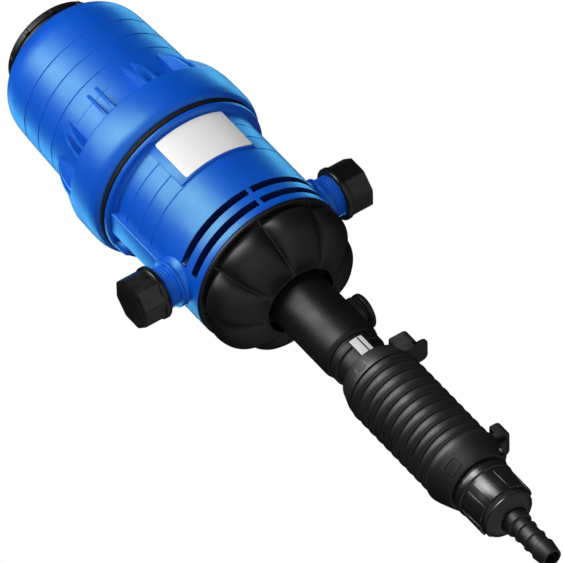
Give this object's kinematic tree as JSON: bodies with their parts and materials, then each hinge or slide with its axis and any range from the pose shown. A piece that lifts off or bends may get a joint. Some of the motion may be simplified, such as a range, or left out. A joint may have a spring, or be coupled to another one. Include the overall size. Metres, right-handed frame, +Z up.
{
  "type": "proportional dosing pump",
  "caption": "water-driven dosing pump: blue finned bell over two capped side ports, black lobed base, and a long black stem with setting sleeve and hose barb",
  "frame": {"origin": "where the axis of the two side ports crosses the main axis of the pump", "axes": "+Z up along the main axis towards the top cap, as the pump hangs in use; +X along the outlet port; -Y out of the label"},
  "size_m": [0.162, 0.12, 0.4978],
  "materials": {
    "blue_plastic": "satin moulded deep blue",
    "black_plastic": "satin moulded black",
    "white_plastic": "smooth blank label stock",
    "black_rubber": "matt elastomer",
    "ivory_plastic": "natural engineering plastic",
    "grey_plastic": "smooth light grey cylinder",
    "steel": "stainless wire and pins"
  },
  "bodies": {
    "housing": {"main_body": "blue_plastic", "label_plate": "white_plastic", "bell_seal": "black_rubber", "lower_housing": "black_plastic", "stem_tube": "black_plastic", "stem_seal": "black_rubber", "scale_strip": "white_plastic", "lower_cylinder": "grey_plastic"},
    "cylinder": {"cylinder_liner": "grey_plastic"},
    "bell": {"bell_cover": "blue_plastic"},
    "cap_seal": {"top_cap_seal": "black_rubber"},
    "crown_cap": {"top_cap": "black_plastic"},
    "inlet_washer": {"inlet_cap_washer": "black_rubber"},
    "inlet_screw_cap": {"inlet_cap": "black_plastic"},
    "outlet_washer": {"outlet_cap_washer": "black_rubber"},
    "outlet_screw_cap": {"outlet_cap": "black_plastic"},
    "plug_seal": {"side_plug_seal": "black_rubber"},
    "drain_plug": {"side_plug": "black_plastic"},
    "piston": {"piston_crown": "ivory_plastic", "piston_seal": "black_rubber", "piston_skirt": "ivory_plastic", "skirt_seal": "black_rubber", "plunger_rod": "ivory_plastic", "plunger_head": "ivory_plastic", "plunger_seal": "black_rubber", "toggle_frame": "ivory_plastic", "toggle_pin_left": "steel", "toggle_pin_right": "steel", "toggle_spring": "steel"},
    "toggle": {"toggle_arm": "steel"},
    "valves": {"valve_carrier": "ivory_plastic", "valve_pad_left": "black_rubber", "valve_pad_right": "black_rubber"},
    "trip": {"trip_rod": "steel"},
    "dosing_unit": {"dosing_cylinder": "black_plastic", "dosing_seal": "black_rubber", "hose_barb": "black_plastic", "check_seat": "black_rubber", "check_spring": "steel", "check_cage": "ivory_plastic"},
    "setting_sleeve": {"grip_sleeve": "black_plastic", "clamp_collar": "black_plastic", "clamp_screw": "steel"},
    "lock_ring": {"lock_collar": "black_plastic"},
    "latch": {"lock_tab": "black_plastic"},
    "gasket": {"nut_gasket": "black_rubber"},
    "nut": {"clamp_nut": "black_plastic"},
    "poppet": {"check_poppet": "ivory_plastic"}
  },
  "joints": [
    {"name": "bell_rise", "type": "slide", "parent": "housing", "child": "cylinder", "axis": [0, 0, 1], "range_m": [0, 0.02]},
    {"name": "bell_turn", "type": "hinge", "parent": "cylinder", "child": "bell", "pos_m": [0, 0, 0], "axis": [0, 0, 1], "range_deg": [0, 1440]},
    {"name": "top_cap_rise", "type": "slide", "parent": "bell", "child": "cap_seal", "axis": [0, 0, 1], "range_m": [0, 0.0128]},
    {"name": "top_cap_turn", "type": "hinge", "parent": "cap_seal", "child": "crown_cap", "pos_m": [0, 0, 0], "axis": [0, 0, 1], "range_deg": [0, 1440]},
    {"name": "inlet_cap_travel", "type": "slide", "parent": "housing", "child": "inlet_washer", "axis": [-1, 0, 0], "range_m": [0, 0.01448]},
    {"name": "inlet_cap_turn", "type": "hinge", "parent": "inlet_washer", "child": "inlet_screw_cap", "pos_m": [0, 0, 0], "axis": [-1, 0, 0], "range_deg": [0, 2880]},
    {"name": "outlet_cap_travel", "type": "slide", "parent": "housing", "child": "outlet_washer", "axis": [1, 0, 0], "range_m": [0, 0.01448]},
    {"name": "outlet_cap_turn", "type": "hinge", "parent": "outlet_washer", "child": "outlet_screw_cap", "pos_m": [0, 0, 0], "axis": [1, 0, 0], "range_deg": [0, 2880]},
    {"name": "side_plug_travel", "type": "slide", "parent": "housing", "child": "plug_seal", "axis": [1, 0, 0], "range_m": [0, 0.0075]},
    {"name": "side_plug_turn", "type": "hinge", "parent": "plug_seal", "child": "drain_plug", "pos_m": [0, 0, -0.084], "axis": [1, 0, 0], "range_deg": [0, 1800]},
    {"name": "motor_stroke", "type": "slide", "parent": "housing", "child": "piston", "axis": [0, 0, 1], "range_m": [0, 0.036]},
    {"name": "toggle_swing", "type": "hinge", "parent": "piston", "child": "toggle", "pos_m": [0, 0, 0.0853], "axis": [1, 0, 0], "range_deg": [0, 24]},
    {"name": "valve_lift", "type": "slide", "parent": "piston", "child": "valves", "axis": [0, 0, 1], "range_m": [0, 0.005]},
    {"name": "trip_travel", "type": "slide", "parent": "piston", "child": "trip", "axis": [0, 0, 1], "range_m": [0, 0.006], "deforming": ["toggle_spring"]},
    {"name": "dosing_slide", "type": "slide", "parent": "housing", "child": "dosing_unit", "axis": [0, 0, 1], "range_m": [-0.01, 0.008]},
    {"name": "setting_turn", "type": "hinge", "parent": "dosing_unit", "child": "setting_sleeve", "pos_m": [0, 0, 0], "axis": [0, 0, 1], "range_deg": [-900, 720]},
    {"name": "lock_ring_turn", "type": "hinge", "parent": "setting_sleeve", "child": "lock_ring", "pos_m": [0, 0, 0], "axis": [0, 0, 1], "range_deg": [0, 30]},
    {"name": "latch_pull", "type": "slide", "parent": "lock_ring", "child": "latch", "axis": [1, 0, 0], "range_m": [0, 0.003], "stiffness_N_per_m": 150, "springref_m": -0.001},
    {"name": "nut_travel", "type": "slide", "parent": "dosing_unit", "child": "gasket", "axis": [0, 0, -1], "range_m": [0, 0.01]},
    {"name": "nut_turn", "type": "hinge", "parent": "gasket", "child": "nut", "pos_m": [0, 0, 0], "axis": [0, 0, -1], "range_deg": [0, 1440]},
    {"name": "check_lift", "type": "slide", "parent": "dosing_unit", "child": "poppet", "axis": [0, 0, 1], "range_m": [0, 0.004], "stiffness_N_per_m": 150, "springref_m": -0.002, "deforming": ["check_spring"]}
  ],
  "couplings": [
    {"joint": "bell_turn", "follows": "bell_rise", "rad_per_m": 1256.6},
    {"joint": "top_cap_turn", "follows": "top_cap_rise", "rad_per_m": 1963.5},
    {"joint": "inlet_cap_turn", "follows": "inlet_cap_travel", "rad_per_m": 3471.4},
    {"joint": "outlet_cap_turn", "follows": "outlet_cap_travel", "rad_per_m": 3471.4},
    {"joint": "side_plug_turn", "follows": "side_plug_travel", "rad_per_m": 4188.8},
    {"joint": "valve_lift", "follows": "toggle_swing", "m_per_rad": 0.011937},
    {"joint": "trip_travel", "follows": "toggle_swing", "m_per_rad": 0.014324},
    {"joint": "setting_turn", "follows": "dosing_slide", "rad_per_m": 1570.8},
    {"joint": "nut_turn", "follows": "nut_travel", "rad_per_m": 2513.3}
  ]
}
